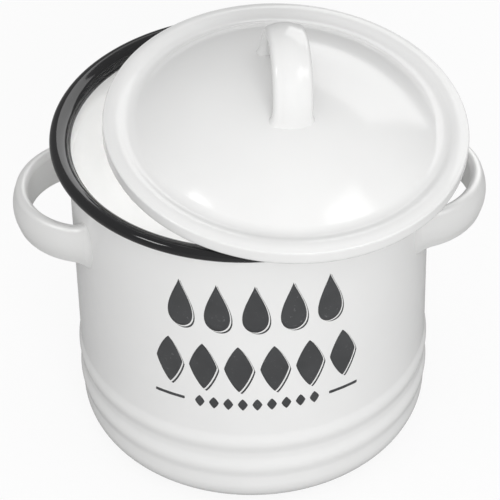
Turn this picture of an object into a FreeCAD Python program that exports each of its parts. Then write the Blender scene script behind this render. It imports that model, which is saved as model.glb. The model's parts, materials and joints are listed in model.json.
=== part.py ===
import FreeCAD, Part
import math
import os

# Enamelled steel keeper for kitchen grease: a drawn pot with a black rolled rim,
# two strap handles, and a domed lid with its own strap handle, left askew on the rim.
# Millimetres, +Z up, origin at the centre of the base where the pot stands.

# Pot
pot_radius = 62.5            # outside of the straight wall
wall = 1.2                   # enamelled sheet of the pot
pot_top = 118.3              # where the white wall ends and the black rim begins
base_corner = 12.0           # outside radius between wall and base
foot_rise = 0.8              # how far the middle of the base is pressed up
foot_ring_radius = 46.0      # where the pressed middle of the base begins
rib_centres = (31.7, 20.2)   # heights of the two rounded ribs
rib_height = 0.75            # how far a rib stands proud of the wall
rib_width = 10.4             # height of wall that a rib takes up

# Rolled rim
roll_radius = 2.1            # outside radius of the curled edge
roll_reach = 6.0             # how far the curled edge stands out from the wall
roll_rise = 2.2              # from the top of the white wall up to the middle of the curl
roll_outer = pot_radius + roll_reach
roll_centre_height = pot_top + roll_rise
rim_sheet = 0.95             # sheet that the curl is rolled from
ledge_crown = 0.25           # how far the ledge bulges upwards between the wall and the curl
neck_rise = 0.3              # straight black neck above the white wall
crease_angle = 196           # where the ledge meets the curl, round the curl's middle, in degrees
curl_end = -150              # where the curl ends under the ledge, in degrees

# Side handles
side_loop_reach = 20.4       # how far a handle stands out from the wall
side_reach = pot_radius + side_loop_reach
side_drop = 24.4             # from the top of the white wall down to the middle of the handles
side_height = pot_top - side_drop
side_span = 50.5             # between the middles of the two feet, across the bend
side_strap_width = 15.2      # width of the strap, upright
side_strap_thickness = 5.7   # thickness of the strap at its crown
side_turn = 1.8              # both handles sit this many degrees round the pot
side_root = 6.0              # how far a foot's root runs in before the wall trims it

# Lid
lid_radius = 62.2            # outside of the lid's edge
lid_sheet = 1.1              # enamelled sheet of the lid
skirt_height = 4.1           # turned-down edge of the lid
hem_thickness = 1.7          # folded lower edge of the skirt
hem_height = 1.5             # height of that fold
edge_round = 0.8             # rounding between skirt and ridge
ridge_inset = 3.8            # from the lid's edge in to the highest line of the ridge
ridge_height = 1.9           # height of the ridge above the skirt
valley_inset = 4.0           # from the ridge in to the lowest line of the groove
valley_height = 0.9          # height of the groove above the skirt
valley_round = 5.0           # rounding from the groove into the dome
dome_height = 20.0           # crown of the lid above the skirt
ridge_radius = lid_radius - ridge_inset
valley_radius = ridge_radius - valley_inset

# Lid handle
knob_span = 35.0             # between the middles of the two feet
knob_top = 39.4              # top of the loop above the skirt
knob_strap_width = 13.4      # width of the strap
knob_strap_thickness = 5.4   # thickness of the strap at its crown
knob_turn = 6.0              # turn of the loop about the lid's axis, in degrees
knob_offset = -1.3           # the loop sits this far to the right of the lid's middle
knob_root = 3.0              # how far a foot's root runs in before the dome trims it

# Shared by the three straps
strap_edge = 2.3             # half thickness of a strap's rounded long edges
strap_channel = 0.9          # depth of the hollow pressed along a strap's inner face
foot_flare = 1.25            # how much wider a strap's foot is than the strap
foot_swell = 1.35            # how much thicker a strap's foot is than the strap
foot_length = 6.5            # length of strap in which a foot narrows to the strap
foot_steps = 6               # ruled steps that a foot's flare is drawn in

# Where the lid lies askew on the rim
lid_shift = (12.9, -10.0)    # middle of the lid's edge from the pot axis
lid_lean = (0.067, -0.100)   # slope of the lid's axis to the right and to the front
lid_clearance = 0.3          # between the lid's edge and the rim where they meet


def point(radius, height):
    """A point of a section, at a radius from the axis and a height."""
    return FreeCAD.Vector(radius, 0, height)


def on_circle(centre, radius, degrees):
    """A point on a circle in the section plane."""
    angle = math.radians(degrees)
    return centre + point(radius * math.cos(angle), radius * math.sin(angle))


def line(start, end):
    return Part.LineSegment(start, end).toShape()


def arc(start, middle, end):
    return Part.Arc(start, middle, end).toShape()


def corner_arc(centre, radius, start, end):
    """An arc round a centre, from one angle to another, in degrees."""
    middle = (start + end) / 2
    return arc(on_circle(centre, radius, start), on_circle(centre, radius, middle), on_circle(centre, radius, end))


def turned(edges):
    """The solid that a closed section makes when it is turned about the axis."""
    face = Part.Face(Part.Wire(Part.__sortEdges__(edges)))
    solid = face.revolve(FreeCAD.Vector(), FreeCAD.Vector(0, 0, 1), 360)
    solid = Part.Solid(solid.Shells[0]) if solid.ShapeType != "Solid" else solid
    if solid.Volume < 0:
        solid.reverse()
    return solid


def wall_line(radius, bulge):
    """The edges of the wall's section from the base corner up: straight, with the ribs as arcs."""
    edges = []
    below = base_corner
    for centre in sorted(rib_centres):
        foot = centre - rib_width / 2
        head = centre + rib_width / 2
        if foot > below + 0.01:
            edges.append(line(point(radius, below), point(radius, foot)))
        edges.append(arc(point(radius, foot), point(radius + bulge, centre), point(radius, head)))
        below = head
    edges.append(line(point(radius, below), point(radius, pot_top)))
    return edges


def pot_shell():
    """The drawn pot: pressed-up base, round corner, straight wall with two ribs."""
    inside = pot_radius - wall
    corner = point(pot_radius - base_corner, base_corner)
    slope_end = foot_ring_radius - 3 * foot_rise
    edges = [
        line(point(0, foot_rise), point(slope_end, foot_rise)),
        line(point(slope_end, foot_rise), point(foot_ring_radius, 0)),
        line(point(foot_ring_radius, 0), point(pot_radius - base_corner, 0)),
        corner_arc(corner, base_corner, -90, 0),
    ]
    edges += wall_line(pot_radius, rib_height)
    edges += [line(point(pot_radius, pot_top), point(inside, pot_top))]
    edges += wall_line(inside, rib_height)
    edges += [
        corner_arc(corner, base_corner - wall, 0, -90),
        line(point(pot_radius - base_corner, wall), point(foot_ring_radius, wall)),
        line(point(foot_ring_radius, wall), point(slope_end, foot_rise + wall)),
        line(point(slope_end, foot_rise + wall), point(0, foot_rise + wall)),
        line(point(0, foot_rise + wall), point(0, foot_rise)),
    ]
    return turned(edges)


def rolled_rim():
    """The black rim: a short neck on the wall, a ledge that rises outwards, and a hollow curl."""
    inside = pot_radius - wall
    centre = point(roll_outer - roll_radius, roll_centre_height)
    neck_top = pot_top + neck_rise
    crease = on_circle(centre, roll_radius, crease_angle)
    tuck = on_circle(centre, roll_radius, 360 + curl_end)
    shoulder = (point(inside, neck_top) + crease) * 0.5 + point(0, ledge_crown)
    edges = [
        line(point(pot_radius, pot_top), point(inside, pot_top)),
        line(point(inside, pot_top), point(inside, neck_top)),
        arc(point(inside, neck_top), shoulder, crease),
        corner_arc(centre, roll_radius, crease_angle, curl_end),
        line(tuck, point(pot_radius, pot_top)),
    ]
    ring = turned(edges)
    hollow = Part.makeTorus(centre.x, roll_radius - rim_sheet, FreeCAD.Vector(0, 0, centre.z))
    return largest(ring.cut(hollow))


def strap_section(width, thickness):
    """A strap's section in the plane of X and Y: width along Y, crowned towards +X, hollowed behind."""
    half = width / 2 - strap_edge
    inner = -thickness / 2
    crown = thickness / 2
    edge = inner + 2 * strap_edge
    corners = FreeCAD.Vector(inner, -half, 0), FreeCAD.Vector(inner, half, 0)
    right = FreeCAD.Vector(edge, half, 0)
    left = FreeCAD.Vector(edge, -half, 0)
    middle = inner + strap_edge
    return Part.Wire([
        arc(corners[0], FreeCAD.Vector(inner + strap_channel, 0, 0), corners[1]),
        arc(corners[1], FreeCAD.Vector(middle, half + strap_edge, 0), right),
        arc(right, FreeCAD.Vector(crown, 0, 0), left),
        arc(left, FreeCAD.Vector(middle, -half - strap_edge, 0), corners[0]),
    ])


def on_strap(shape, bend, leg, run):
    """A copy of a section, carried along a strap's middle line by a run from its foot.

    The line goes straight up the leg and then round the bend, whose middle is over X of zero.
    A leg below zero means that the foot stands part of the way round the bend.
    """
    angle = max(0.0, run - leg) / bend
    place = FreeCAD.Vector(bend * math.cos(angle), 0, min(run, leg) + bend * math.sin(angle))
    turn = FreeCAD.Rotation(FreeCAD.Vector(0, -1, 0), math.degrees(angle))
    copy = shape.copy()
    copy.Placement = FreeCAD.Placement(place, turn)
    return copy


def strap_foot(width, thickness, bend, leg, buried):
    """A foot: a straight root below Z of zero, then a flare that eases into the strap."""
    root = strap_section(width * foot_flare, thickness * foot_swell)
    sections = [on_strap(root, bend, leg, -buried)]
    for step in range(foot_steps + 1):
        share = step / foot_steps
        ease = (1 - share) ** 3
        section = strap_section(width * (1 + (foot_flare - 1) * ease), thickness * (1 + (foot_swell - 1) * ease))
        sections.append(on_strap(section, bend, leg, foot_length * share))
    return Part.makeLoft(sections, True, True)


def strap_loop(width, thickness, span, rise, buried):
    """A strap bent into a loop in the plane of X and Z: two legs and a bend over them.

    The feet stand at X of plus and minus half the span and start below Z of zero, by the
    buried depth. Each foot narrows to the strap, whose crown faces outwards all the way.
    """
    bend = span / 2
    leg = rise - thickness / 2 - bend
    foot_angle = math.degrees((foot_length - leg) / bend)
    section = on_strap(Part.Face(strap_section(width, thickness)), bend, leg, foot_length)
    solid = section.revolve(FreeCAD.Vector(0, 0, leg), FreeCAD.Vector(0, -1, 0), 180 - 2 * foot_angle)
    for degrees in (0, 180):
        foot = strap_foot(width, thickness, bend, leg, buried)
        foot.rotate(FreeCAD.Vector(), FreeCAD.Vector(0, 0, 1), degrees)
        solid = solid.fuse(foot)
    return solid


def side_handle(side):
    """A strap handle on the wall, on the left for a side of -1 and on the right for 1."""
    seat = math.sqrt(pot_radius ** 2 - (side_span / 2) ** 2)
    loop = strap_loop(side_strap_width, side_strap_thickness, side_span, side_reach - seat, side_root)
    loop.rotate(FreeCAD.Vector(), FreeCAD.Vector(0, 0, 1), 90)
    loop.rotate(FreeCAD.Vector(), FreeCAD.Vector(0, 1, 0), 90)
    loop.translate(FreeCAD.Vector(seat, 0, side_height))
    if side < 0:
        loop.rotate(FreeCAD.Vector(), FreeCAD.Vector(0, 0, 1), 180)
    loop.rotate(FreeCAD.Vector(), FreeCAD.Vector(0, 0, 1), side_turn)
    handle = loop.cut(Part.makeCylinder(pot_radius, pot_top))
    return largest(handle)


def largest(shape):
    """The largest solid of a shape, which is the piece itself once its buried roots are cut off."""
    return max(shape.Solids, key=lambda solid: solid.Volume)


def dome_sphere():
    """Radius and centre height of the sphere that the dome is part of."""
    rise = dome_height - valley_height
    foot = valley_radius - valley_round / 2
    radius = (foot ** 2 + rise ** 2) / (2 * rise)
    return radius, dome_height - radius


def lid_circles():
    """Middles and radii of the three arcs of the lid's outer face: dome, groove and ridge.

    The groove touches the dome from outside, and the ridge touches the groove: its radius
    follows from the two middles being as far apart as the two radii added together.
    """
    dome_radius, dome_middle = dome_sphere()
    groove_height = valley_height + valley_round
    groove_run = math.sqrt((dome_radius + valley_round) ** 2 - (groove_height - dome_middle) ** 2)
    across = ridge_radius - groove_run
    above = groove_height - ridge_height
    ridge_round = (across ** 2 + above ** 2 - valley_round ** 2) / (2 * (valley_round - above))
    dome = (point(0, dome_middle), dome_radius)
    groove = (point(groove_run, groove_height), valley_round)
    ridge = (point(ridge_radius, ridge_height - ridge_round), ridge_round)
    return dome, groove, ridge


def heading(start, end):
    """The direction from one point of the section to another, in degrees."""
    return math.degrees(math.atan2(end.z - start.z, end.x - start.x))


def lid_line(depth, edge):
    """Edges of the lid's section from its crown out to a radius near its edge, and their two ends.

    The depth is below the outer face, so that the dome and the ridge get smaller by it
    and the groove larger.
    """
    (dome, dome_radius), (groove, groove_round), (ridge, ridge_round) = lid_circles()
    dome_radius -= depth
    groove_round += depth
    ridge_round -= depth
    dome_end = heading(dome, groove)
    groove_end = heading(groove, ridge)
    ridge_start = groove_end + 180
    ridge_end = math.degrees(math.acos((edge - ridge.x) / ridge_round))
    edges = [
        corner_arc(dome, dome_radius, 90, dome_end),
        corner_arc(groove, groove_round, dome_end - 180, groove_end),
        corner_arc(ridge, ridge_round, ridge_start, ridge_end),
    ]
    return edges, on_circle(dome, dome_radius, 90), on_circle(ridge, ridge_round, ridge_end)


def lid_shell():
    """The lid: a dome, a groove, a ridge and a turned-down skirt with a folded lower edge."""
    inner = lid_radius - lid_sheet
    top, crown, ridge_end = lid_line(0, lid_radius - edge_round)
    below, crown_below, ridge_end_below = lid_line(lid_sheet, inner - edge_round)
    skirt_top = point(lid_radius, ridge_end.z - edge_round)
    corner = on_circle(point(lid_radius - edge_round, skirt_top.z), edge_round, 50)
    inner_top = point(inner, ridge_end_below.z - edge_round)
    corner_below = on_circle(point(inner - edge_round, inner_top.z), edge_round, 50)
    foot_round = hem_thickness / 2
    foot_middle = point(lid_radius - foot_round, foot_round - skirt_height)
    hem_inner = lid_radius - hem_thickness
    hem_top = hem_height - skirt_height
    fold = hem_thickness - lid_sheet
    edges = top + below + [
        arc(ridge_end, corner, skirt_top),
        line(skirt_top, point(lid_radius, foot_middle.z)),
        corner_arc(foot_middle, foot_round, 0, -180),
        line(point(hem_inner, foot_middle.z), point(hem_inner, hem_top)),
        line(point(hem_inner, hem_top), point(inner, hem_top + fold)),
        line(point(inner, hem_top + fold), inner_top),
        arc(inner_top, corner_below, ridge_end_below),
        line(crown_below, crown),
    ]
    return turned(edges)


def lid_handle():
    """The strap loop on the crown of the lid, seated on the dome."""
    radius, centre = dome_sphere()
    seat = centre + math.sqrt(radius ** 2 - (knob_span / 2 + knob_strap_thickness) ** 2)
    loop = strap_loop(knob_strap_width, knob_strap_thickness, knob_span, knob_top - seat, knob_root)
    loop.rotate(FreeCAD.Vector(), FreeCAD.Vector(0, 0, 1), 90 + knob_turn)
    loop.translate(FreeCAD.Vector(knob_offset, 0, seat))
    dome = Part.makeSphere(radius, FreeCAD.Vector(0, 0, centre))
    handle = loop.cut(dome)
    return largest(handle)


def lid_place(shape):
    """Carry a shape from the lid's own frame to where the lid lies askew on the rim."""
    axis = FreeCAD.Vector(lid_lean[0], lid_lean[1], 1).normalize()
    lean = FreeCAD.Rotation(FreeCAD.Vector(0, 0, 1), axis)
    shape.Placement = FreeCAD.Placement(FreeCAD.Vector(lid_shift[0], lid_shift[1], lid_rest_height()), lean)
    return shape


def lid_rest_height():
    """Height of the lid's middle at which the round edge of its skirt just clears the curl.

    Seen across, the two edges are circles. Where the middle of the skirt's edge passes over
    the curl, it stays above the curl's middle by the two radii and the clearance.
    """
    axis = FreeCAD.Vector(lid_lean[0], lid_lean[1], 1).normalize()
    lean = FreeCAD.Rotation(FreeCAD.Vector(0, 0, 1), axis)
    edge_radius = hem_thickness / 2
    reach = roll_radius + edge_radius + lid_clearance
    roll_middle = roll_outer - roll_radius
    heights = []
    steps = 1440
    for step in range(steps):
        angle = 2 * math.pi * step / steps
        run = lid_radius - edge_radius
        edge = lean.multVec(FreeCAD.Vector(run * math.cos(angle), run * math.sin(angle), edge_radius - skirt_height))
        across = math.hypot(edge.x + lid_shift[0], edge.y + lid_shift[1]) - roll_middle
        if abs(across) < reach:
            heights.append(roll_centre_height + math.sqrt(reach ** 2 - across ** 2) - edge.z)
    return max(heights)


def main():
    os.makedirs("parts", exist_ok=True)
    nodes = {
        "pot_shell": pot_shell(),
        "rolled_rim": rolled_rim(),
        "left_handle": side_handle(-1),
        "right_handle": side_handle(1),
        "lid_shell": lid_place(lid_shell()),
        "lid_handle": lid_place(lid_handle()),
    }
    for name, shape in nodes.items():
        shape.exportStep("parts/" + name + ".step")
        box = shape.BoundBox
        print(name, shape.ShapeType, len(shape.Solids), "valid", shape.isValid(), "volume", round(shape.Volume, 1))
        print("   x", round(box.XMin, 2), round(box.XMax, 2), "y", round(box.YMin, 2), round(box.YMax, 2),
              "z", round(box.ZMin, 2), round(box.ZMax, 2))
    print("lid middle height", round(lid_rest_height(), 2))


main()
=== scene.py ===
import json
import math

import bmesh
import bpy
import numpy as np
from bpy.props import FloatProperty, FloatVectorProperty, IntProperty, PointerProperty
from mathutils import Matrix, Vector


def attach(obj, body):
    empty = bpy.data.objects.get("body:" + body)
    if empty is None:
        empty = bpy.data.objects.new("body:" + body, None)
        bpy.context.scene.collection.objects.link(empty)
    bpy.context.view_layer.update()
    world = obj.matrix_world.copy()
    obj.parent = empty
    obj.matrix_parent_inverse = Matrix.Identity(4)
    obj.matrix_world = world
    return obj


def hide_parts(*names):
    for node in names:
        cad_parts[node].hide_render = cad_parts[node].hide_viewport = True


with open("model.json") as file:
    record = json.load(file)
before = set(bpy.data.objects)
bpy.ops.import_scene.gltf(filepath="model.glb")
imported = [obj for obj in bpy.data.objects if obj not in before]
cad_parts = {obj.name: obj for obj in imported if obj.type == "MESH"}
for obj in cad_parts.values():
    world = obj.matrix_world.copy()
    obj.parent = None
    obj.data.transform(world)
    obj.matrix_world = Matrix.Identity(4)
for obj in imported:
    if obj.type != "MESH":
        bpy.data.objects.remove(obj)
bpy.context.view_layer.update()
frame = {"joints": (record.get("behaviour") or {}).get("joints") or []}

bl_info = {
    "name": "Enamel Grease Keeper",
    "version": (1, 0, 0),
    "blender": (4, 5, 0),
    "location": "3D View > Sidebar > Keeper",
    "description": "Enamelled pot with a black rolled rim, strap handles and a domed lid set askew",
    "category": "Object",
}

# The middle of the lid's edge where it lies askew, from the joint that lifts the lid.
lid_middle = Vector(next(joint for joint in frame["joints"] if joint["child"] == "lid")["pos_m"])

TURNS = 256  # steps round a turned piece
OUTLINE = 72  # points round a printed motif
STRAP_EDGE = 0.0023  # half thickness of a strap's round long edges
STRAP_CHANNEL = 0.0009  # depth of the hollow pressed along a strap's inner face
STRAP_FLARE = 0.25  # how much wider a strap is at its feet
STRAP_SWELL = 0.35  # how much thicker a strap is at its feet
STRAP_FOOT = 0.0065  # length of strap over which a foot flares
BURIED = 0.0004  # how deep a strap's root ends under the face it stands on
INK_BACK = -0.0001  # where the print's underside lies, just under the enamel's face
THIN_BAND = 0.0007  # height over which the enamel runs thin at the lid's lower edge
THIN_WHITE = 0.62  # how bright white enamel stays where it runs thin
LOZENGE_POWER = 1.25  # a superellipse with this power is a lozenge with soft corners
BAR_POWER = 12  # and with this one a bar with round corners
DROP_DIVISOR = 1.54  # makes a drop about nine tenths as wide as the motifs' width
SENSOR = 36.0  # width of the camera's sensor in millimetres

# The stage's soft boxes: place, width, height, whether they light and whether they are mirrored.
# The name of each is also the name of its power among the stage's sizes.
LAMPS = {
    "key": ((0.75, -0.55, 0.95), 0.5, 0.4, False, True),
    "second": ((-0.80, -0.45, 0.95), 0.28, 0.28, False, True),
    "front": ((0.2, -1.2, 0.6), 0.7, 0.7, True, False),
    "back": ((0.85, 1.6, 1.1), 1.7, 1.4, False, True),
}
LAMPS_AIM = (0.0, 0.0, 0.09)  # what the soft boxes are turned to, inside the pot
INNER_LAMP = (0.0, -0.005, 0.06)  # place of the small ball of light in the pot
INNER_LAMP_RADIUS = 0.02


def length(name, default, description):
    """A size in metres."""
    return FloatProperty(
        name=name, default=default, min=0.0, unit="LENGTH", precision=5, description=description
    )


def share(name, default, description):
    """A number from 0 to 1."""
    return FloatProperty(
        name=name, default=default, min=0.0, max=1.0, subtype="FACTOR", description=description
    )


def power(name, default, description):
    """The strength of a light."""
    return FloatProperty(name=name, default=default, min=0.0, description=description)


def turn(name, default, description):
    """An angle."""
    return FloatProperty(name=name, default=math.radians(default), subtype="ANGLE", description=description)


def colour(name, default, description):
    """A linear colour."""
    return FloatVectorProperty(
        name=name, default=default, size=3, min=0.0, max=1.0, subtype="COLOR", description=description
    )


class PotSizes(bpy.types.PropertyGroup):
    """Sizes of the drawn pot."""
    radius: length("Radius", 0.0625, "Outside of the straight wall")
    wall: length("Wall", 0.0012, "Thickness of the enamelled sheet")
    top: length("Top", 0.1183, "Height where the white wall ends")
    corner: length("Corner", 0.012, "Outside rounding between wall and base")
    foot_rise: length("Foot rise", 0.0008, "How far the middle of the base is pressed up")
    foot_ring: length("Foot ring", 0.046, "Radius where the pressed middle begins")
    upper_rib: length("Upper rib", 0.0317, "Height of the upper rib")
    lower_rib: length("Lower rib", 0.0202, "Height of the lower rib")
    rib_height: length("Rib height", 0.00075, "How far a rib stands proud")
    rib_width: length("Rib width", 0.0104, "Height of wall that a rib takes up")


class RimSizes(bpy.types.PropertyGroup):
    """Sizes of the black rolled rim."""
    curl: length("Curl", 0.0021, "Outside radius of the curled edge")
    outer: length("Outer radius", 0.06849, "Outermost radius of the curled edge")
    height: length("Height", 0.1205, "Height of the middle of the curl")
    neck: length("Neck", 0.0003, "Straight black neck above the white wall")
    lip: length("Lip", 0.0005, "Small step between the neck and the slope of the rim")
    curl_end: turn("Curl end", -150, "Where the curl ends under the ledge")


class SideHandleSizes(bpy.types.PropertyGroup):
    """Sizes of the two strap handles on the wall."""
    reach: length("Reach", 0.08288, "Outermost point of a handle from the pot's axis")
    height: length("Height", 0.0939, "Height of the middle of the handles")
    span: length("Span", 0.0505, "Between the middles of the two feet, across the bend")
    width: length("Width", 0.0152, "Width of the strap, upright")
    thickness: length("Thickness", 0.0057, "Thickness of the strap at its crown")
    root: length("Root", 0.006, "How far a foot runs on before it is drawn onto the wall")
    turn: turn("Turn", 1.8, "Turn of both handles round the pot")


class LidSizes(bpy.types.PropertyGroup):
    """Sizes of the lid."""
    radius: length("Radius", 0.0622, "Outside of the lid's edge")
    sheet: length("Sheet", 0.0011, "Thickness of the enamelled sheet")
    skirt: length("Skirt", 0.0041, "Height of the turned-down edge")
    hem: length("Hem", 0.0017, "Thickness of the folded lower edge")
    hem_height: length("Hem height", 0.0015, "Height of the folded lower edge")
    edge_round: length("Edge round", 0.0008, "Rounding between skirt and ridge")
    ridge_radius: length("Ridge radius", 0.0584, "Radius where the ridge is highest")
    ridge_height: length("Ridge height", 0.0019, "Height of the ridge")
    valley_radius: length("Groove radius", 0.0544, "Radius of the groove inside the ridge")
    valley_height: length("Groove height", 0.0009, "Height of the groove")
    valley_round: length("Groove round", 0.005, "Rounding from the groove into the dome")
    dome: length("Dome", 0.020, "Height of the crown")
    lean_right: FloatProperty(name="Lean right", default=0.067, description="Slope of the axis to the right")
    lean_front: FloatProperty(name="Lean front", default=0.100, description="Slope of the axis to the front")


class LidHandleSizes(bpy.types.PropertyGroup):
    """Sizes of the strap handle on the lid."""
    span: length("Span", 0.035, "Between the middles of the two feet")
    top: length("Top", 0.03939, "Top of the loop above the lid's edge")
    width: length("Width", 0.0134, "Width of the strap")
    thickness: length("Thickness", 0.0054, "Thickness of the strap at its crown")
    root: length("Root", 0.003, "How far a foot runs on before it is drawn onto the dome")
    turn: turn("Turn", 6.0, "Turn of the loop about the lid's axis")
    offset: FloatProperty(
        name="Offset", default=-0.0013, unit="LENGTH", precision=5,
        description="How far the loop sits to the right of the lid's middle"
    )


class PrintSizes(bpy.types.PropertyGroup):
    """Sizes of the plain printed ornament on the front."""
    middle: turn("Middle", 270.9, "Direction of the print's middle round the pot")
    top_row: length("Top row", 0.0940, "Height of the middle of the upper row")
    low_row: length("Low row", 0.0669, "Height of the middle of the lower row")
    rule_row: length("Rule row", 0.0506, "Height of the rules under the rows")
    tall: length("Tall", 0.0205, "Height of a motif")
    wide: length("Wide", 0.0098, "Width of a motif")
    top_count: IntProperty(name="Top count", default=5, min=1, description="Motifs in the upper row")
    low_count: IntProperty(name="Low count", default=6, min=1, description="Motifs in the lower row")
    top_pitch: turn("Top pitch", 11.9, "Step between motifs of the upper row")
    low_pitch: turn("Low pitch", 11.3, "Step between motifs of the lower row")
    rule_length: length("Rule length", 0.0112, "Length of a rule")
    rule_width: length("Rule width", 0.0013, "Width of a rule")
    rule_place: length("Rule place", 0.0312, "From the print's middle to a rule's middle, along the wall")
    dot_wide: length("Dot width", 0.0034, "Width of a dot between the rules")
    dot_tall: length("Dot height", 0.0052, "Height of a dot between the rules")
    dot_count: IntProperty(name="Dot count", default=9, min=1, description="Dots between the rules")
    dot_pitch: turn("Dot pitch", 4.6, "Step between dots")
    gap: length("Gap", 0.0006, "White gap between a motif and the thin line beside it")
    line: length("Line", 0.0007, "Width of the thin line beside a motif")
    ink: length("Ink", 0.00004, "How far the print stands on the enamel")


class Finishes(bpy.types.PropertyGroup):
    """Colours and glosses of the finishes."""
    white: colour("White enamel", (0.80, 0.80, 0.795), "White enamel")
    black: colour("Black enamel", (0.012, 0.012, 0.013), "Black enamel")
    charcoal: colour("Charcoal print", (0.043, 0.044, 0.046), "Charcoal print")
    gloss: share("White roughness", 0.16, "Roughness of the white enamel")
    black_gloss: share("Black roughness", 0.07, "Roughness of the black enamel")
    print_gloss: share("Print roughness", 0.34, "Roughness of the print")
    uneven: share("White unevenness", 0.03, "How much the tone of the white enamel varies")
    black_uneven: share("Black unevenness", 0.5, "How much the tone of the black enamel varies")


class StageSizes(bpy.types.PropertyGroup):
    """Sizes of the floor, the lamps and the camera."""
    floor: length("Floor", 4.0, "Half the width of the floor")
    floor_tone: share("Floor tone", 0.9, "Tone of the floor to the camera")
    floor_bounce: share("Floor bounce", 0.45, "Tone of the floor as it throws light back")
    floor_glow: share("Floor glow", 0.86, "Share of plain white in what the camera sees of the floor")
    distance: length("Distance", 0.96426, "From the camera to the point it looks at")
    elevation: turn("Elevation", 39.935, "Camera above the horizon")
    roll: turn("Roll", -1.318, "Turn of the camera about its own line of sight")
    target: FloatVectorProperty(
        name="Target", default=(-0.00034, 0.0, 0.06765), size=3, subtype="TRANSLATION",
        description="Point that the camera looks at"
    )
    lens: FloatProperty(name="Lens", default=194.62, description="Focal length in mm on a 36 mm sensor")
    key: power("Key lamp", 1.6, "Power of the soft box on the right")
    second: power("Second lamp", 2.2, "Power of the soft box on the left")
    front: power("Front light", 8.2, "Power of the light at the front")
    back: power("Back card", 15.0, "Power of the white card at the back")
    inside: power("Inside light", 0.08, "Power of the small light in the pot")
    world: power("World", 0.80, "Strength of the surrounding white as light")
    gleam: power("Gleam", 0.38, "Strength of the surrounding white in reflections")


# Sections and surfaces

def arc_line(centre, radius, start, end, count):
    """Points on a circle from one angle to another, in radians: centre + radius * (cos a, sin a)."""
    angles = np.linspace(start, end, count)
    return np.stack([centre[0] + radius * np.cos(angles), centre[1] + radius * np.sin(angles)], axis=1)


def straight_line(start, end, count):
    """Points evenly spaced on a straight line."""
    shares = np.linspace(0.0, 1.0, count)[:, None]
    return np.asarray(start) * (1 - shares) + np.asarray(end) * shares


def bulge_line(start, end, bulge, count):
    """A straight line pushed sideways by bulge * cos^2, so that it leaves and meets the line smoothly."""
    points = straight_line(start, end, count)
    along = (points[-1] - points[0]) / np.linalg.norm(points[-1] - points[0])
    side = np.array([along[1], -along[0]])
    shares = np.linspace(-0.5, 0.5, count)
    return points + (bulge * np.cos(np.pi * shares) ** 2)[:, None] * side


def chain(*lines):
    """One line from several, with the points that two of them share kept once."""
    points = np.concatenate(lines)
    steps = np.linalg.norm(np.diff(points, axis=0), axis=1)
    return points[np.concatenate([[True], steps > 1e-8])]


def grid_faces(rows, columns, wrap_rows, wrap_columns):
    """Four corners of each face of a grid, with the last row or column joined to the first if it wraps."""
    row = np.arange(rows if wrap_rows else rows - 1)
    column = np.arange(columns if wrap_columns else columns - 1)
    row, column = np.meshgrid(row, column, indexing="ij")
    next_row = (row + 1) % rows
    next_column = (column + 1) % columns
    corners = [row * columns + column, row * columns + next_column]
    corners += [next_row * columns + next_column, next_row * columns + column]
    return np.stack(corners, axis=-1).reshape(-1, 4)


def make_piece(name, grids, body, material, attributes=None):
    """A mesh object from grids of points, each with its wrap_rows and wrap_columns.

    Points that fall together, as at a pole, are merged, and the faces are turned outwards.
    """
    points = []
    faces = []
    first = 0
    for grid, wrap_rows, wrap_columns in grids:
        rows, columns = grid.shape[:2]
        points.append(grid.reshape(-1, 3))
        faces.append(grid_faces(rows, columns, wrap_rows, wrap_columns) + first)
        first += rows * columns
    points = np.concatenate(points)
    faces = np.concatenate(faces)
    mesh = bpy.data.meshes.new(name)
    mesh.from_pydata(points.tolist(), [], faces.tolist())
    for key, values in (attributes or {}).items():
        layer = mesh.attributes.new(key, "FLOAT", "POINT")
        layer.data.foreach_set("value", np.ascontiguousarray(values, dtype=np.float32).ravel())
    shape = bmesh.new()
    shape.from_mesh(mesh)
    bmesh.ops.remove_doubles(shape, verts=shape.verts, dist=1e-7)
    bmesh.ops.recalc_face_normals(shape, faces=shape.faces)
    shape.to_mesh(mesh)
    shape.free()
    mesh.polygons.foreach_set("use_smooth", np.ones(len(mesh.polygons), dtype=bool))
    mesh.update()
    piece = bpy.data.objects.new(name, mesh)
    bpy.context.scene.collection.objects.link(piece)
    mesh.materials.append(material)
    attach(piece, body)
    return piece


def lathe_grid(section):
    """A section turned about the upright axis: (r cos a, r sin a, z) for each section point and angle."""
    angles = np.linspace(0.0, 2 * np.pi, TURNS, endpoint=False)
    radius = section[:, 0][:, None]
    height = np.repeat(section[:, 1][:, None], TURNS, axis=1)
    return np.stack([radius * np.cos(angles), radius * np.sin(angles), height], axis=-1)


def turned_about_z(points, angle):
    """Points turned about the upright axis."""
    c, s = math.cos(angle), math.sin(angle)
    return points @ np.array([[c, s, 0.0], [-s, c, 0.0], [0.0, 0.0, 1.0]])


def lid_turn(sizes):
    """The turn that carries the upright axis to the lid's leaning axis."""
    axis = Vector((sizes.lean_right, -sizes.lean_front, 1.0)).normalized()
    return np.array(Vector((0.0, 0.0, 1.0)).rotation_difference(axis).to_matrix())


def on_pot(points, sizes):
    """Points of the lid's own frame carried to where the lid lies askew."""
    return points @ lid_turn(sizes).T + np.array(lid_middle)


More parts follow.
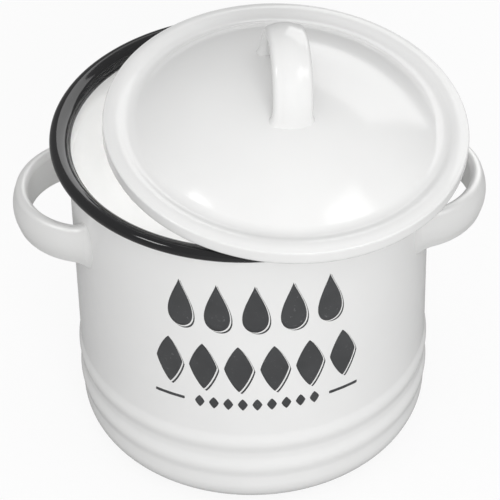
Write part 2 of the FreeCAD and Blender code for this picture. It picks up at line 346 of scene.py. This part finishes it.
def strap_outline(width, thickness):
    """A strap's section: a hollowed inner face, round long edges and a crown, as a closed line.

    The crown and the hollow are circles of radius (h^2 + c^2) / 2c for a half width h and a rise c.
    Each edge is most of a half circle. Short straight steps join it to the hollow and the crown.
    """
    half = width / 2 - STRAP_EDGE
    rise = thickness - 2 * STRAP_EDGE
    crown = (half ** 2 + rise ** 2) / (2 * rise)
    hollow = (half ** 2 + STRAP_CHANNEL ** 2) / (2 * STRAP_CHANNEL)
    inner = -thickness / 2
    short = 0.03  # angle by which the hollow and the crown stop short of the edge
    hollow_end = math.acos(half / hollow) + short
    crown_start = math.acos(half / crown) + short
    edge_start = -math.pi / 2 + 0.12  # just past straight down
    edge_end = math.pi * 0.42  # a little before straight up, where the crown comes down to the edge
    line = chain(
        arc_line((0.0, inner + STRAP_CHANNEL - hollow), hollow, math.pi / 2, hollow_end, 12),
        arc_line((half, inner + STRAP_EDGE), STRAP_EDGE, edge_start, edge_end, 16),
        arc_line((0.0, thickness / 2 - crown), crown, crown_start, math.pi / 2, 14),
    )
    mirrored = line[1:-1][::-1] * np.array([-1.0, 1.0])
    return np.concatenate([line, mirrored])


def strap_grid(sizes, rise):
    """A strap bent into a loop over X and Z, with its width along Y.

    The middle line goes up one leg, over a half circle and down the other leg. In each foot
    the width grows by flare * (1 - h)^3 and the thickness by swell * (1 - h)^3, with h the
    distance run from the foot over the foot's length.
    """
    bend = sizes.span / 2
    leg = rise - sizes.thickness / 2 - bend
    half_length = leg + math.pi / 2 * bend
    below = [-sizes.root, -sizes.root / 2]
    flared = np.linspace(0.0, STRAP_FOOT, 20)
    plain = np.linspace(STRAP_FOOT, half_length, 36)[1:]
    run = np.concatenate([below, flared, plain])
    angle = np.maximum(0.0, run - leg) / bend
    angle = np.concatenate([angle, np.pi - angle[-2::-1]])
    climb = np.minimum(run, leg)
    climb = np.concatenate([climb, climb[-2::-1]])
    ease = np.clip(1 - np.maximum(run, 0.0) / STRAP_FOOT, 0.0, 1.0) ** 3
    ease = np.concatenate([ease, ease[-2::-1]])
    outline = strap_outline(sizes.width, sizes.thickness)
    across = outline[:, 0][None, :] * (1 + STRAP_FLARE * ease[:, None])
    outwards = outline[:, 1][None, :] * (1 + STRAP_SWELL * ease[:, None])
    reach = bend + outwards
    return np.stack([
        reach * np.cos(angle)[:, None],
        across,
        climb[:, None] + reach * np.sin(angle)[:, None],
    ], axis=-1)


def capped(grid):
    """The grid with a row at each end drawn together to its middle, which closes the ends."""
    first = np.repeat(grid[:1].mean(axis=1, keepdims=True), grid.shape[1], axis=1)
    last = np.repeat(grid[-1:].mean(axis=1, keepdims=True), grid.shape[1], axis=1)
    return np.concatenate([first, grid, last])


def lid_circles(sizes):
    """Middles and radii of the dome, groove and ridge arcs of the lid's outer face.

    The groove touches the dome and the ridge touches the groove, each from outside, so their
    middles are as far apart as their radii added together.
    """
    rise = sizes.dome - sizes.valley_height
    foot = sizes.valley_radius - sizes.valley_round / 2
    dome_radius = (foot ** 2 + rise ** 2) / (2 * rise)
    dome_middle = sizes.dome - dome_radius
    groove_height = sizes.valley_height + sizes.valley_round
    groove_run = math.sqrt((dome_radius + sizes.valley_round) ** 2 - (groove_height - dome_middle) ** 2)
    across = sizes.ridge_radius - groove_run
    above = groove_height - sizes.ridge_height
    ridge_round = (across ** 2 + above ** 2 - sizes.valley_round ** 2) / (2 * (sizes.valley_round - above))
    return (
        (np.array([0.0, dome_middle]), dome_radius),
        (np.array([groove_run, groove_height]), sizes.valley_round),
        (np.array([sizes.ridge_radius, sizes.ridge_height - ridge_round]), ridge_round),
    )


def lid_line(sizes, depth, edge):
    """The lid's section from its crown out to a radius near its edge, at a depth below its outer face."""
    (dome, dome_radius), (groove, groove_round), (ridge, ridge_round) = lid_circles(sizes)
    dome_radius -= depth
    groove_round += depth
    ridge_round -= depth
    to_groove = math.atan2(*(groove - dome)[::-1])
    to_ridge = math.atan2(*(ridge - groove)[::-1])
    ridge_end = math.acos((edge - ridge[0]) / ridge_round)
    return chain(
        arc_line(dome, dome_radius, math.pi / 2, to_groove, 60),
        arc_line(groove, groove_round, to_groove - math.pi, to_ridge, 18),
        arc_line(ridge, ridge_round, to_ridge + math.pi, ridge_end, 24),
    )


# Materials

def new_group(name, inputs, outputs):
    """An empty shader node group with named sockets, and its input and output nodes."""
    group = bpy.data.node_groups.new(name, "ShaderNodeTree")
    for socket, kind, default in inputs:
        made = group.interface.new_socket(socket, in_out="INPUT", socket_type=kind)
        made.default_value = default
    for socket, kind in outputs:
        group.interface.new_socket(socket, in_out="OUTPUT", socket_type=kind)
    return group, group.nodes.new("NodeGroupInput"), group.nodes.new("NodeGroupOutput")


def math_node(tree, operation, first, second):
    """A Math node with each input linked to a socket or set to a number."""
    node = tree.nodes.new("ShaderNodeMath")
    node.operation = operation
    for slot, value in zip(node.inputs, (first, second)):
        if isinstance(value, (int, float)):
            slot.default_value = value
        else:
            tree.links.new(value, slot)
    return node.outputs[0]


def range_node(tree, value, low, high, start, end):
    """A Map Range node that carries low..high to start..end, clamped."""
    node = tree.nodes.new("ShaderNodeMapRange")
    node.inputs["From Min"].default_value = low
    node.inputs["From Max"].default_value = high
    for name, bound in (("To Min", start), ("To Max", end)):
        if isinstance(bound, (int, float)):
            node.inputs[name].default_value = bound
        else:
            tree.links.new(bound, node.inputs[name])
    tree.links.new(value, node.inputs["Value"])
    return node.outputs["Result"]


def mix_colour(tree, factor, first, second):
    """A colour Mix node with each input linked to a socket or set to a value.

    A Mix node has a set of inputs for each kind of data. Its colours are inputs 6 and 7 and output 2.
    """
    node = tree.nodes.new("ShaderNodeMix")
    node.data_type = "RGBA"
    for socket, value in ((node.inputs[0], factor), (node.inputs[6], first), (node.inputs[7], second)):
        if isinstance(value, (int, float, tuple)):
            socket.default_value = value
        else:
            tree.links.new(value, socket)
    return node.outputs[2]


def noise_node(tree, vector, scale, detail, roughness):
    """A Noise texture's value."""
    node = tree.nodes.new("ShaderNodeTexNoise")
    node.inputs["Scale"].default_value = scale
    node.inputs["Detail"].default_value = detail
    node.inputs["Roughness"].default_value = roughness
    tree.links.new(vector, node.inputs["Vector"])
    return node.outputs["Fac"]


def enamel_skin():
    """Fired enamel: a soft unevenness of tone, orange peel, sparse pinholes and thin edges.

    The noises are blotches of about 4 cm, orange peel of about 5 mm and a grain of about 2 mm.
    """
    group, given, result = new_group(
        "enamel_skin",
        [
            ("Colour", "NodeSocketColor", (0.8, 0.8, 0.8, 1.0)),
            ("Thin colour", "NodeSocketColor", (0.4, 0.4, 0.42, 1.0)),
            ("Pinhole colour", "NodeSocketColor", (0.03, 0.03, 0.03, 1.0)),
            ("Unevenness", "NodeSocketFloat", 0.03),
            ("Gloss", "NodeSocketFloat", 0.1),
            ("Edge", "NodeSocketFloat", 0.0),
            ("Vector", "NodeSocketVector", (0.0, 0.0, 0.0)),
        ],
        [("Colour", "NodeSocketColor"), ("Roughness", "NodeSocketFloat"), ("Height", "NodeSocketFloat")],
    )
    links = group.links
    place = given.outputs["Vector"]
    broad = noise_node(group, place, 26.0, 3.0, 0.55)
    fine = noise_node(group, place, 420.0, 2.0, 0.5)
    peel = noise_node(group, place, 190.0, 1.0, 0.4)
    tone = range_node(group, broad, 0.3, 0.7, -0.5, 0.5)
    shift = math_node(group, "MULTIPLY", tone, given.outputs["Unevenness"])
    level = math_node(group, "ADD", shift, 1.0)
    scale = group.nodes.new("ShaderNodeVectorMath")
    scale.operation = "SCALE"
    links.new(given.outputs["Colour"], scale.inputs[0])
    links.new(level, scale.inputs["Scale"])
    dots = group.nodes.new("ShaderNodeTexVoronoi")
    dots.inputs["Scale"].default_value = 46.0
    dots.inputs["Randomness"].default_value = 1.0
    links.new(place, dots.inputs["Vector"])
    near = range_node(group, dots.outputs["Distance"], 0.012, 0.026, 1.0, 0.0)  # at each cell's middle
    chosen = group.nodes.new("ShaderNodeSeparateColor")
    links.new(dots.outputs["Color"], chosen.inputs["Color"])
    rare = math_node(group, "GREATER_THAN", chosen.outputs["Red"], 0.965)  # in about one cell of thirty
    pinhole = math_node(group, "MULTIPLY", near, rare)
    rag = range_node(group, fine, 0.3, 0.62, 0.35, 1.0)
    ragged = math_node(group, "MULTIPLY", given.outputs["Edge"], rag)
    thin = mix_colour(group, ragged, scale.outputs["Vector"], given.outputs["Thin colour"])
    spotted = mix_colour(group, pinhole, thin, given.outputs["Pinhole colour"])
    links.new(spotted, result.inputs["Colour"])
    rough = range_node(group, broad, 0.25, 0.75, 0.85, 1.2)
    rough = math_node(group, "MULTIPLY", rough, given.outputs["Gloss"])
    rough = math_node(group, "ADD", rough, math_node(group, "MULTIPLY", ragged, 0.12))
    links.new(rough, result.inputs["Roughness"])
    peel_part = math_node(group, "MULTIPLY", peel, 0.8)
    fine_part = math_node(group, "MULTIPLY", fine, 0.2)
    peak = math_node(group, "ADD", peel_part, fine_part)
    pit = math_node(group, "MULTIPLY", pinhole, 1.6)
    links.new(math_node(group, "SUBTRACT", peak, pit), result.inputs["Height"])
    return group


def object_place(tree, location=(0.0, 0.0, 0.0)):
    """Object coordinates, moved by a Mapping node so that each piece has its own part of a pattern."""
    source = tree.nodes.new("ShaderNodeTexCoord")
    mapping = tree.nodes.new("ShaderNodeMapping")
    mapping.inputs["Location"].default_value = location
    tree.links.new(source.outputs["Object"], mapping.inputs["Vector"])
    return mapping.outputs["Vector"]


def enamel(name, base, thin, gloss, unevenness, location=(0.0, 0.0, 0.0)):
    """Glossy porcelain enamel on steel."""
    material = bpy.data.materials.new(name)
    material.use_nodes = True
    tree = material.node_tree
    shader = tree.nodes["Principled BSDF"]
    group = tree.nodes.new("ShaderNodeGroup")
    group.node_tree = bpy.data.node_groups.get("enamel_skin") or enamel_skin()
    group.inputs["Colour"].default_value = (*base, 1.0)
    group.inputs["Thin colour"].default_value = (*thin, 1.0)
    group.inputs["Unevenness"].default_value = unevenness
    group.inputs["Gloss"].default_value = gloss
    edge = tree.nodes.new("ShaderNodeAttribute")
    edge.attribute_name = "thin_edge"
    tree.links.new(edge.outputs["Fac"], group.inputs["Edge"])
    tree.links.new(object_place(tree, location), group.inputs["Vector"])
    bump = tree.nodes.new("ShaderNodeBump")
    bump.inputs["Strength"].default_value = 0.25
    bump.inputs["Distance"].default_value = 0.00012
    tree.links.new(group.outputs["Height"], bump.inputs["Height"])
    tree.links.new(group.outputs["Colour"], shader.inputs["Base Color"])
    tree.links.new(group.outputs["Roughness"], shader.inputs["Roughness"])
    tree.links.new(bump.outputs["Normal"], shader.inputs["Normal"])
    shader.inputs["IOR"].default_value = 1.5
    return material


def white_enamel(looks, location=(0.0, 0.0, 0.0), name="white_enamel"):
    """White enamel, a little grey where it runs thin over an edge."""
    thin = tuple(THIN_WHITE * value for value in looks.white)
    return enamel(name, tuple(looks.white), thin, looks.gloss, looks.uneven, location)


def black_enamel(looks):
    """Black enamel, glossier and more uneven in tone than the white. It has no thin edges."""
    base = tuple(looks.black)
    return enamel("black_enamel", base, base, looks.black_gloss, looks.black_uneven)


def charcoal_print(looks):
    """Charcoal print fired on the enamel, uneven in tone and with a few faint worn specks."""
    material = bpy.data.materials.new("print_charcoal")
    material.use_nodes = True
    tree = material.node_tree
    shader = tree.nodes["Principled BSDF"]
    place = object_place(tree)
    grain = noise_node(tree, place, 900.0, 3.0, 0.7)
    patches = noise_node(tree, place, 90.0, 2.0, 0.5)
    specks = range_node(tree, grain, 0.63, 0.73, 0.0, 1.0)
    wear = range_node(tree, patches, 0.42, 0.62, 0.03, 0.22)
    worn = math_node(tree, "MULTIPLY", specks, wear)
    dark = (*looks.charcoal, 1.0)
    pale = (*(1.3 * value for value in looks.charcoal), 1.0)
    shade = mix_colour(tree, range_node(tree, patches, 0.3, 0.7, 0.0, 1.0), dark, pale)
    tree.links.new(mix_colour(tree, worn, shade, (*looks.white, 1.0)), shader.inputs["Base Color"])
    rough = range_node(tree, grain, 0.3, 0.7, looks.print_gloss * 0.9, looks.print_gloss * 1.15)
    tree.links.new(rough, shader.inputs["Roughness"])
    bump = tree.nodes.new("ShaderNodeBump")
    bump.inputs["Strength"].default_value = 0.2
    bump.inputs["Distance"].default_value = 0.00005
    tree.links.new(grain, bump.inputs["Height"])
    tree.links.new(bump.outputs["Normal"], shader.inputs["Normal"])
    return material


# Operators

class KEEPER_OT_pot(bpy.types.Operator):
    """The drawn pot: pressed-up base, round corner and straight wall with two ribs"""
    bl_idname = "keeper.pot"
    bl_label = "Pot"

    def wall(self, sizes, radius):
        """The wall's section from the base corner up to the rim, with the ribs as smooth bulges."""
        lines = []
        below = sizes.corner
        for rib in (sizes.lower_rib, sizes.upper_rib):
            foot, head = rib - sizes.rib_width / 2, rib + sizes.rib_width / 2
            lines.append(straight_line((radius, below), (radius, foot), 3))
            lines.append(bulge_line((radius, foot), (radius, head), sizes.rib_height, 25))
            below = head
        lines.append(straight_line((radius, below), (radius, sizes.top), 12))
        return chain(*lines)

    def execute(self, context):
        sizes = context.scene.keeper_pot
        inside = sizes.radius - sizes.wall
        corner = (sizes.radius - sizes.corner, sizes.corner)
        # The pressed middle slopes down to the foot ring over three times its rise.
        slope = sizes.foot_ring - 3 * sizes.foot_rise
        edge = inside + sizes.wall / 2
        section = chain(
            straight_line((0.0, sizes.foot_rise), (slope, sizes.foot_rise), 8),
            straight_line((slope, sizes.foot_rise), (sizes.foot_ring, 0.0), 4),
            straight_line((sizes.foot_ring, 0.0), (corner[0], 0.0), 3),
            arc_line(corner, sizes.corner, -math.pi / 2, 0.0, 24),
            self.wall(sizes, sizes.radius),
            straight_line((sizes.radius, sizes.top), (edge, sizes.top), 2),
            straight_line((edge, sizes.top), (inside, sizes.top), 2),
            self.wall(sizes, inside)[::-1],
            arc_line(corner, sizes.corner - sizes.wall, 0.0, -math.pi / 2, 20),
            straight_line((corner[0], sizes.wall), (sizes.foot_ring, sizes.wall), 3),
            straight_line((sizes.foot_ring, sizes.wall), (slope, sizes.foot_rise + sizes.wall), 4),
            straight_line((slope, sizes.foot_rise + sizes.wall), (0.0, sizes.foot_rise + sizes.wall), 8),
        )
        white = white_enamel(context.scene.keeper_looks)
        grid = lathe_grid(section)
        piece = make_piece("pot_enamelled", [(grid, False, True)], "pot", white)
        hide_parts("pot_shell")
        return {"FINISHED"}


class KEEPER_OT_rim(bpy.types.Operator):
    """The black rim: a short neck, a slope that rises outwards as a quarter ellipse and a curled edge"""
    bl_idname = "keeper.rim"
    bl_label = "Rolled rim"

    def execute(self, context):
        pot = context.scene.keeper_pot
        sizes = context.scene.keeper_rim
        inside = pot.radius - pot.wall
        middle = np.array([sizes.outer - sizes.curl, sizes.height])
        curl = arc_line(middle, sizes.curl, math.pi / 2, sizes.curl_end, 48)
        neck_top = pot.top + sizes.neck + sizes.lip
        root = (inside + sizes.lip, neck_top)
        shares = np.linspace(math.pi, math.pi / 2, 32)
        run, climb = middle[0] - root[0], curl[0, 1] - root[1]
        slope = np.stack([middle[0] + run * np.cos(shares), root[1] + climb * np.sin(shares)], axis=1)
        section = chain(
            straight_line((pot.radius, pot.top), (inside, pot.top), 3),
            straight_line((inside, pot.top), (inside, neck_top), 3),
            straight_line((inside, neck_top), root, 3),
            slope,
            curl,
            straight_line(tuple(curl[-1]), (pot.radius, pot.top), 5),
        )[:-1]
        black = black_enamel(context.scene.keeper_looks)
        grid = lathe_grid(section)
        piece = make_piece("rim_enamelled", [(grid, True, True)], "pot", black)
        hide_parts("rolled_rim")
        return {"FINISHED"}


class KEEPER_OT_side_handles(bpy.types.Operator):
    """The two strap handles, whose feet are drawn down onto the wall"""
    bl_idname = "keeper.side_handles"
    bl_label = "Side handles"

    def execute(self, context):
        pot = context.scene.keeper_pot
        sizes = context.scene.keeper_side
        seat = math.sqrt(pot.radius ** 2 - (sizes.span / 2) ** 2)
        loop = strap_grid(sizes, sizes.reach - seat)
        # The loop's X lies along the wall, its width stands upright and its rise points outwards.
        loop = np.stack([loop[..., 2] + seat, loop[..., 0], loop[..., 1] + sizes.height], axis=-1)
        reach = np.hypot(loop[..., 0], loop[..., 1])
        push = np.maximum(1.0, (pot.radius - BURIED) / reach)
        loop[..., 0] *= push
        loop[..., 1] *= push
        white = bpy.data.materials["white_enamel"]
        for side, name in ((math.pi, "left_handle"), (0.0, "right_handle")):
            grid = turned_about_z(capped(loop), side + sizes.turn)
            piece = make_piece(name + "_enamelled", [(grid, False, True)], "pot", white)
            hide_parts(name)
        return {"FINISHED"}


class KEEPER_OT_lid(bpy.types.Operator):
    """The lid: dome, groove, ridge and a turned-down skirt with a folded lower edge"""
    bl_idname = "keeper.lid"
    bl_label = "Lid"

    def execute(self, context):
        sizes = context.scene.keeper_lid
        inner = sizes.radius - sizes.sheet
        top = lid_line(sizes, 0.0, sizes.radius - sizes.edge_round)
        below = lid_line(sizes, sizes.sheet, inner - sizes.edge_round)
        shoulder = (sizes.radius - sizes.edge_round, top[-1, 1] - sizes.edge_round)
        shoulder_below = (inner - sizes.edge_round, below[-1, 1] - sizes.edge_round)
        foot_round = sizes.hem / 2
        foot = (sizes.radius - foot_round, foot_round - sizes.skirt)
        hem_inner = sizes.radius - sizes.hem
        hem_top = sizes.hem_height - sizes.skirt
        fold = sizes.hem - sizes.sheet
        section = chain(
            top,
            arc_line(shoulder, sizes.edge_round, math.pi / 2, 0.0, 8)[1:],
            straight_line((sizes.radius, shoulder[1]), (sizes.radius, foot[1]), 6),
            arc_line(foot, foot_round, 0.0, -math.pi, 14),
            straight_line((hem_inner, foot[1]), (hem_inner, hem_top), 3),
            straight_line((hem_inner, hem_top), (inner, hem_top + fold), 3),
            straight_line((inner, hem_top + fold), (inner, shoulder_below[1]), 3),
            arc_line(shoulder_below, sizes.edge_round, 0.0, math.pi / 2, 6)[:-1],
            below[::-1],
        )
        grid = on_pot(lathe_grid(section), sizes)
        # The enamel is thin at the lid's lowest edge, on the folded hem only.
        on_hem = section[:, 0] > hem_inner - 0.0001  # a hair inside the hem, so that its inner face counts
        thin = np.exp(-((section[:, 1] + sizes.skirt) / THIN_BAND) ** 2) * on_hem
        edge = {"thin_edge": np.repeat(thin[:, None], TURNS, axis=1)}
        white = white_enamel(context.scene.keeper_looks, (0.013, -0.01, 0.1), "lid_enamel")
        piece = make_piece("lid_enamelled", [(grid, False, True)], "lid", white, edge)
        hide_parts("lid_shell")
        return {"FINISHED"}


class KEEPER_OT_lid_handle(bpy.types.Operator):
    """The strap loop on the crown of the lid, whose feet are drawn down onto the dome"""
    bl_idname = "keeper.lid_handle"
    bl_label = "Lid handle"

    def execute(self, context):
        lid = context.scene.keeper_lid
        sizes = context.scene.keeper_loop
        (dome, dome_radius), _, _ = lid_circles(lid)
        seat = dome[1] + math.sqrt(dome_radius ** 2 - (sizes.span / 2 + sizes.thickness) ** 2)
        loop = strap_grid(sizes, sizes.top - seat)
        loop[..., 2] += seat
        loop = turned_about_z(loop, math.pi / 2 + sizes.turn)
        loop[..., 0] += sizes.offset
        middle = np.array([0.0, 0.0, dome[1]])
        reach = np.linalg.norm(loop - middle, axis=-1, keepdims=True)
        loop = middle + (loop - middle) * np.maximum(1.0, (dome_radius - BURIED) / reach)
        grid = on_pot(capped(loop), lid)
        white = bpy.data.materials["lid_enamel"]
        piece = make_piece("lid_handle_enamelled", [(grid, False, True)], "lid", white)
        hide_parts("lid_handle")
        return {"FINISHED"}


def wrapped(along, up, layer, middle, radius):
    """Flat points of a print laid round the wall: along is measured on the wall, layer above it."""
    angle = middle + along / radius
    reach = radius + layer
    return np.stack([reach * np.cos(angle), reach * np.sin(angle), up], axis=-1)


def motif_grid(outline, centre, radius, sizes):
    """A filled outline as a thin raised film: rings from its middle to the outline, then down and back."""
    rings = 7
    shares = np.concatenate([np.linspace(0.0, 1.0, rings), [1.0, 0.0]])
    layers = np.concatenate([np.full(rings, sizes.ink), [INK_BACK, INK_BACK]])
    along = centre[0] + shares[:, None] * outline[None, :, 0]
    up = centre[1] + shares[:, None] * outline[None, :, 1]
    layers = np.repeat(layers[:, None], len(outline), axis=1)
    return wrapped(along, up, layers, sizes.middle, radius), False, True


def offset_grid(outline, centre, radius, sizes):
    """A thin line beside the lower right of an outline: p + d * (gap + line * n . d) where n . d > 0.

    d points down to the right, and n is the outward normal of the outline at its point p.
    The line's two ends are drawn together to a point.
    """
    fall = np.array([1.0, -1.0]) / math.sqrt(2)
    step = np.roll(outline, -1, axis=0) - np.roll(outline, 1, axis=0)
    turning = np.sign(np.sum(outline[:, 0] * step[:, 1] - outline[:, 1] * step[:, 0]))
    normal = turning * np.stack([step[:, 1], -step[:, 0]], axis=1)
    facing = (normal / np.linalg.norm(normal, axis=1)[:, None]) @ fall
    near = facing > 0.05  # a little above zero, so that the line ends before it turns away
    order = np.roll(np.arange(len(outline)), -np.flatnonzero(near & ~np.roll(near, 1))[0])
    run = order[np.cumprod(near[order]).astype(bool)]
    inner = outline[run] + sizes.gap * fall
    outer = inner + sizes.line * facing[run][:, None] * fall
    loop = np.stack([inner, outer, outer, inner])
    layers = np.array([sizes.ink, sizes.ink, INK_BACK, INK_BACK])
    layers = np.repeat(layers[:, None], len(run), axis=1)
    for end in (0, -1):
        loop[:, end] = inner[end]
        layers[:, end] = 0.0
    along, up = centre[0] + loop[..., 0], centre[1] + loop[..., 1]
    return wrapped(along, up, layers, sizes.middle, radius), True, False


def drop_outline(wide, tall):
    """A hanging drop: across = w sin t sin^1.5(t/2) and up = h cos t, from its tip round and back."""
    t = np.linspace(0.0, 2 * np.pi, OUTLINE, endpoint=False)
    across = wide / DROP_DIVISOR * np.sin(t) * np.abs(np.sin(t / 2)) ** 1.5
    return np.stack([across, tall / 2 * np.cos(t)], axis=1)


def superellipse(wide, tall, power, count=OUTLINE):
    """A superellipse: |x / a|^power + |y / b|^power = 1, from its right end round and back."""
    t = np.linspace(0.0, 2 * np.pi, count, endpoint=False)
    c, s = np.cos(t), np.sin(t)
    across = wide / 2 * np.sign(c) * np.abs(c) ** (2 / power)
    return np.stack([across, tall / 2 * np.sign(s) * np.abs(s) ** (2 / power)], axis=1)


class KEEPER_OT_print(bpy.types.Operator):
    """A plain printed ornament on the front: two rows of motifs, and dots between two rules"""
    bl_idname = "keeper.print"
    bl_label = "Print"

    def row(self, shape, outline, count, pitch, height, radius, sizes):
        """Equal shapes side by side, centred on the print."""
        places = (np.arange(count) - (count - 1) / 2) * pitch * radius
        return [shape(outline, (place, height), radius, sizes) for place in places]

    def execute(self, context):
        sizes = context.scene.keeper_print
        radius = context.scene.keeper_pot.radius
        charcoal = charcoal_print(context.scene.keeper_looks)
        drop = drop_outline(sizes.wide, sizes.tall)
        lozenge = superellipse(sizes.wide, sizes.tall, LOZENGE_POWER)
        dot = superellipse(sizes.dot_wide, sizes.dot_tall, LOZENGE_POWER)
        rule = superellipse(sizes.rule_length, sizes.rule_width, BAR_POWER, 64)
        top = (drop, sizes.top_count, sizes.top_pitch, sizes.top_row, radius, sizes)
        low = (lozenge, sizes.low_count, sizes.low_pitch, sizes.low_row, radius, sizes)
        drops = self.row(motif_grid, *top) + self.row(offset_grid, *top)
        lozenges = self.row(motif_grid, *low) + self.row(offset_grid, *low)
        ends = (-sizes.rule_place, sizes.rule_place)
        rules = [motif_grid(rule, (place, sizes.rule_row), radius, sizes) for place in ends]
        dots = self.row(motif_grid, dot, sizes.dot_count, sizes.dot_pitch, sizes.rule_row, radius, sizes)
        pieces = {"print_drops": drops, "print_lozenges": lozenges, "print_rules": rules + dots}
        for name, grids in pieces.items():
            make_piece(name, grids, "pot", charcoal)
        return {"FINISHED"}


class KEEPER_OT_stage(bpy.types.Operator):
    """The floor, the lamps, the surrounding white and the camera"""
    bl_idname = "keeper.stage"
    bl_label = "Stage"

    def floor(self, sizes):
        """A pale floor that shows as white to the camera and still takes the shadow."""
        half = sizes.floor
        corners = [(-half, -half, 0), (half, -half, 0), (half, half, 0), (-half, half, 0)]
        mesh = bpy.data.meshes.new("floor")
        mesh.from_pydata(corners, [], [(0, 1, 2, 3)])
        floor = bpy.data.objects.new("floor", mesh)
        bpy.context.scene.collection.objects.link(floor)
        material = bpy.data.materials.new("floor_paper")
        material.use_nodes = True
        tree = material.node_tree
        tree.nodes.clear()
        output = tree.nodes.new("ShaderNodeOutputMaterial")
        paper = tree.nodes.new("ShaderNodeBsdfDiffuse")
        glow = tree.nodes.new("ShaderNodeEmission")
        mix = tree.nodes.new("ShaderNodeMixShader")
        seen = tree.nodes.new("ShaderNodeLightPath").outputs["Is Camera Ray"]
        bounce = (sizes.floor_bounce,) * 3 + (1.0,)
        tone = (sizes.floor_tone,) * 3 + (1.0,)
        tree.links.new(mix_colour(tree, seen, bounce, tone), paper.inputs["Color"])
        tree.links.new(math_node(tree, "MULTIPLY", seen, sizes.floor_glow), mix.inputs["Fac"])
        tree.links.new(paper.outputs[0], mix.inputs[1])
        tree.links.new(glow.outputs[0], mix.inputs[2])
        tree.links.new(mix.outputs[0], output.inputs["Surface"])
        mesh.materials.append(material)

    def soft_box(self, name, power):
        """One of the soft boxes, turned to its aim. It may only light, or only be mirrored."""
        place, width, height, lights, mirrored = LAMPS[name]
        data = bpy.data.lights.new(name, "AREA")
        data.shape = "RECTANGLE"
        data.size = width
        data.size_y = height
        data.energy = power
        lamp = bpy.data.objects.new(name, data)
        lamp.location = place
        lamp.rotation_euler = (Vector(LAMPS_AIM) - Vector(place)).to_track_quat("-Z", "Y").to_euler()
        lamp.visible_diffuse = lights
        lamp.visible_glossy = mirrored
        bpy.context.scene.collection.objects.link(lamp)

    def inner_lamp(self, power):
        """A small ball of light inside the pot, as bright inside walls throw light on one another."""
        data = bpy.data.lights.new("inside", "POINT")
        data.shadow_soft_size = INNER_LAMP_RADIUS
        data.energy = power
        lamp = bpy.data.objects.new("inside", data)
        lamp.location = INNER_LAMP
        lamp.visible_camera = False
        lamp.visible_glossy = False
        bpy.context.scene.collection.objects.link(lamp)

    def surround(self, sizes):
        """White all round: full to the camera, less as light and least in reflections."""
        world = bpy.data.worlds.new("surround")
        bpy.context.scene.world = world
        world.use_nodes = True
        tree = world.node_tree
        background = tree.nodes["Background"]
        path = tree.nodes.new("ShaderNodeLightPath")
        background.inputs["Color"].default_value = (1.0, 1.0, 1.0, 1.0)
        unseen = range_node(tree, path.outputs["Is Glossy Ray"], 0.0, 1.0, sizes.world, sizes.gleam)
        strength = range_node(tree, path.outputs["Is Camera Ray"], 0.0, 1.0, unseen, 1.0)
        tree.links.new(strength, background.inputs["Strength"])

    def camera(self, sizes):
        """The camera of the photograph: a long lens, looking down on the pot, turned a little."""
        data = bpy.data.cameras.new("camera")
        data.sensor_width = SENSOR
        data.lens = sizes.lens
        data.clip_start = 0.01
        data.clip_end = 50.0
        back = Vector((0.0, -math.cos(sizes.elevation), math.sin(sizes.elevation)))
        right = Vector((1.0, 0.0, 0.0))
        up = back.cross(right)
        c, s = math.cos(sizes.roll), math.sin(sizes.roll)
        across, upwards = right * c + up * s, up * c - right * s
        place = Vector(sizes.target) + back * sizes.distance
        axes = Matrix((across, upwards, back)).transposed().to_4x4()
        camera = bpy.data.objects.new("camera", data)
        camera.matrix_world = Matrix.Translation(place) @ axes
        bpy.context.scene.collection.objects.link(camera)
        bpy.context.scene.camera = camera

    def execute(self, context):
        sizes = context.scene.keeper_stage
        self.floor(sizes)
        for name in LAMPS:
            self.soft_box(name, getattr(sizes, name))
        self.inner_lamp(sizes.inside)
        self.surround(sizes)
        self.camera(sizes)
        context.scene.view_settings.view_transform = "Standard"
        return {"FINISHED"}


class KEEPER_PT_panel(bpy.types.Panel):
    """Lists the pieces of the keeper and their sizes"""
    bl_label = "Grease keeper"
    bl_space_type = "VIEW_3D"
    bl_region_type = "UI"
    bl_category = "Keeper"

    def draw(self, context):
        for operator in OPERATORS:
            self.layout.operator(operator.bl_idname)
        for attribute, kind in GROUPS.items():
            box = self.layout.box()
            box.label(text=kind.__doc__)
            for field in kind.__annotations__:
                box.prop(getattr(context.scene, attribute), field)


GROUPS = {
    "keeper_pot": PotSizes,
    "keeper_rim": RimSizes,
    "keeper_side": SideHandleSizes,
    "keeper_lid": LidSizes,
    "keeper_loop": LidHandleSizes,
    "keeper_print": PrintSizes,
    "keeper_looks": Finishes,
    "keeper_stage": StageSizes,
}
OPERATORS = (
    KEEPER_OT_pot, KEEPER_OT_rim, KEEPER_OT_side_handles, KEEPER_OT_lid,
    KEEPER_OT_lid_handle, KEEPER_OT_print, KEEPER_OT_stage,
)


def register():
    """Registers the sizes, the operators and the panel."""
    for attribute, kind in GROUPS.items():
        bpy.utils.register_class(kind)
        setattr(bpy.types.Scene, attribute, PointerProperty(type=kind))
    for kind in OPERATORS + (KEEPER_PT_panel,):
        bpy.utils.register_class(kind)


def unregister():
    """Takes them away again."""
    for kind in reversed(OPERATORS + (KEEPER_PT_panel,)):
        bpy.utils.unregister_class(kind)
    for attribute, kind in GROUPS.items():
        delattr(bpy.types.Scene, attribute)
        bpy.utils.unregister_class(kind)


def main():
    """Registers everything and makes the stage and each piece in order."""
    register()
    bpy.ops.keeper.stage()
    bpy.ops.keeper.pot()
    bpy.ops.keeper.rim()
    bpy.ops.keeper.side_handles()
    bpy.ops.keeper.lid()
    bpy.ops.keeper.lid_handle()
    bpy.ops.keeper.print()


if __name__ == "__main__":
    main()
